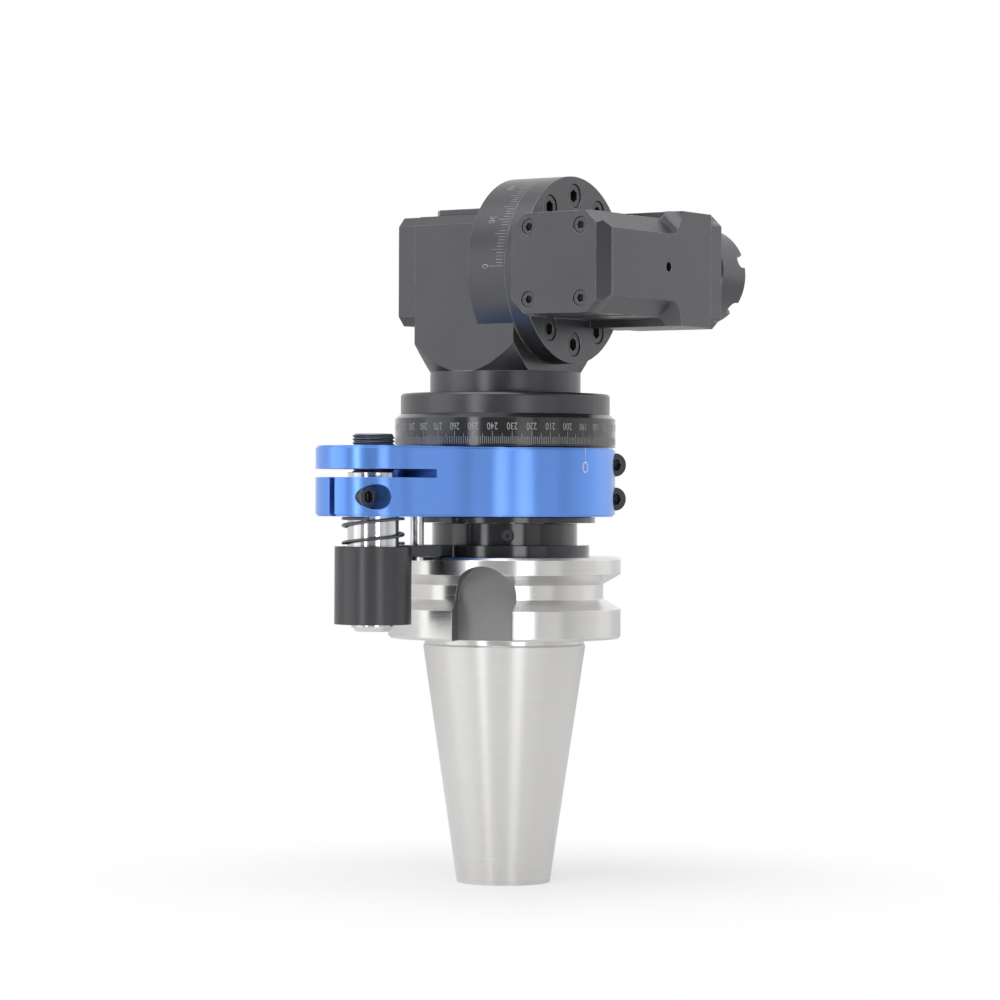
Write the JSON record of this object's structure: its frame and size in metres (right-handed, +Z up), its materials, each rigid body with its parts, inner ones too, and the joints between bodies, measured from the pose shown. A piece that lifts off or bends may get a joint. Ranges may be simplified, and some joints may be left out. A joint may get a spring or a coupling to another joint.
{
  "type": "angle milling head",
  "caption": "Universal angle milling head: steep-taper shank, clamp ring with stop pin, swivelling head and tilting housing with a collet spindle across the main axis.",
  "frame": {"origin": "centre of the taper's gauge plane, on the main axis", "axes": "+Z up the main axis, from the taper to the head; +X along the tilt axis, from the head to the spindle housing; +Y along the spindle, toward the collet nut"},
  "size_m": [0.131, 0.174, 0.3018],
  "materials": {
    "ground_steel": "fine ground",
    "black_oxide": "gloss black oxide",
    "screw_black": "black oxide, lightly oiled",
    "head_grey": "satin dark grey conversion coat",
    "anodised_blue": "satin blue anodised",
    "pin_steel": "polished hard steel",
    "gear_steel": "ground gear steel",
    "bearing_steel": "polished",
    "sleeve_black": "satin black oxide",
    "spring_black": "oil-hardened spring wire",
    "seal_rubber": "moulded"
  },
  "bodies": {
    "head": {"head_housing": "head_grey", "scale_ring": "black_oxide", "hub_end_cap": "black_oxide", "hub_cap_screws": "screw_black", "side_cover": "head_grey", "side_cover_screws": "screw_black", "top_cover": "head_grey", "top_cover_screws": "screw_black", "main_bearing_lower": "bearing_steel", "main_bearing_upper": "bearing_steel", "cross_bearing_left": "bearing_steel", "cross_bearing_middle": "bearing_steel", "shaft_seal": "seal_rubber"},
    "torque_ring": {"torque_ring": "anodised_blue", "ring_clamp_screws": "screw_black", "pin_clamp_screw": "screw_black", "stop_pin": "pin_steel", "stop_pin_stud": "screw_black", "stop_spring": "spring_black", "guide_rod": "pin_steel"},
    "sleeve": {"lock_sleeve": "sleeve_black", "lock_arm": "sleeve_black", "lock_arm_screws": "screw_black"},
    "shank": {"taper_shank": "ground_steel", "lock_collar": "black_oxide", "shank_spacer": "black_oxide", "spacer_set_screws": "screw_black", "drive_shaft": "pin_steel", "shaft_lock_nut": "pin_steel", "drive_gear": "gear_steel"},
    "cross": {"cross_shaft": "pin_steel", "cross_gear_in": "gear_steel", "cross_gear_out": "gear_steel"},
    "housing": {"spindle_housing": "head_grey", "tilt_clamp_screws": "screw_black", "tee_nuts": "screw_black", "rear_cover": "head_grey", "rear_cover_screws": "screw_black", "front_cover": "head_grey", "front_cover_screws": "screw_black", "spindle_seal": "seal_rubber", "cross_bearing_right": "bearing_steel", "spindle_bearing_rear": "bearing_steel", "spindle_bearing_inner": "bearing_steel", "spindle_bearing_spacer": "pin_steel", "spindle_bearing_outer": "bearing_steel"},
    "spindle": {"output_spindle": "pin_steel", "spindle_gear": "gear_steel", "rear_lock_nut": "pin_steel", "collet": "pin_steel", "collet_nut": "head_grey"}
  },
  "joints": [
    {"name": "ring_swivel", "type": "hinge", "parent": "head", "child": "torque_ring", "pos_m": [0, 0, 0.07], "axis": [0, 0, 1], "continuous": true},
    {"name": "sleeve_slide", "type": "slide", "parent": "torque_ring", "child": "sleeve", "axis": [0, 0, 1], "range_m": [0, 0.0065], "stiffness_N_per_m": 2000, "springref_m": -0.005, "deforming": ["stop_spring"]},
    {"name": "shank_spin", "type": "hinge", "parent": "head", "child": "shank", "pos_m": [0, 0, 0.02], "axis": [0, 0, 1], "continuous": true},
    {"name": "cross_spin", "type": "hinge", "parent": "head", "child": "cross", "pos_m": [0, 0, 0.1602], "axis": [1, 0, 0], "continuous": true},
    {"name": "tilt", "type": "hinge", "parent": "head", "child": "housing", "pos_m": [0.03, 0, 0.1602], "axis": [1, 0, 0], "range_deg": [0, 90]},
    {"name": "spindle_spin", "type": "hinge", "parent": "housing", "child": "spindle", "pos_m": [0.058, 0, 0.1602], "axis": [0, 1, 0], "continuous": true}
  ],
  "couplings": [
    {"joint": "cross_spin", "follows": "shank_spin", "ratio": -1},
    {"joint": "spindle_spin", "follows": "shank_spin", "ratio": 1}
  ]
}
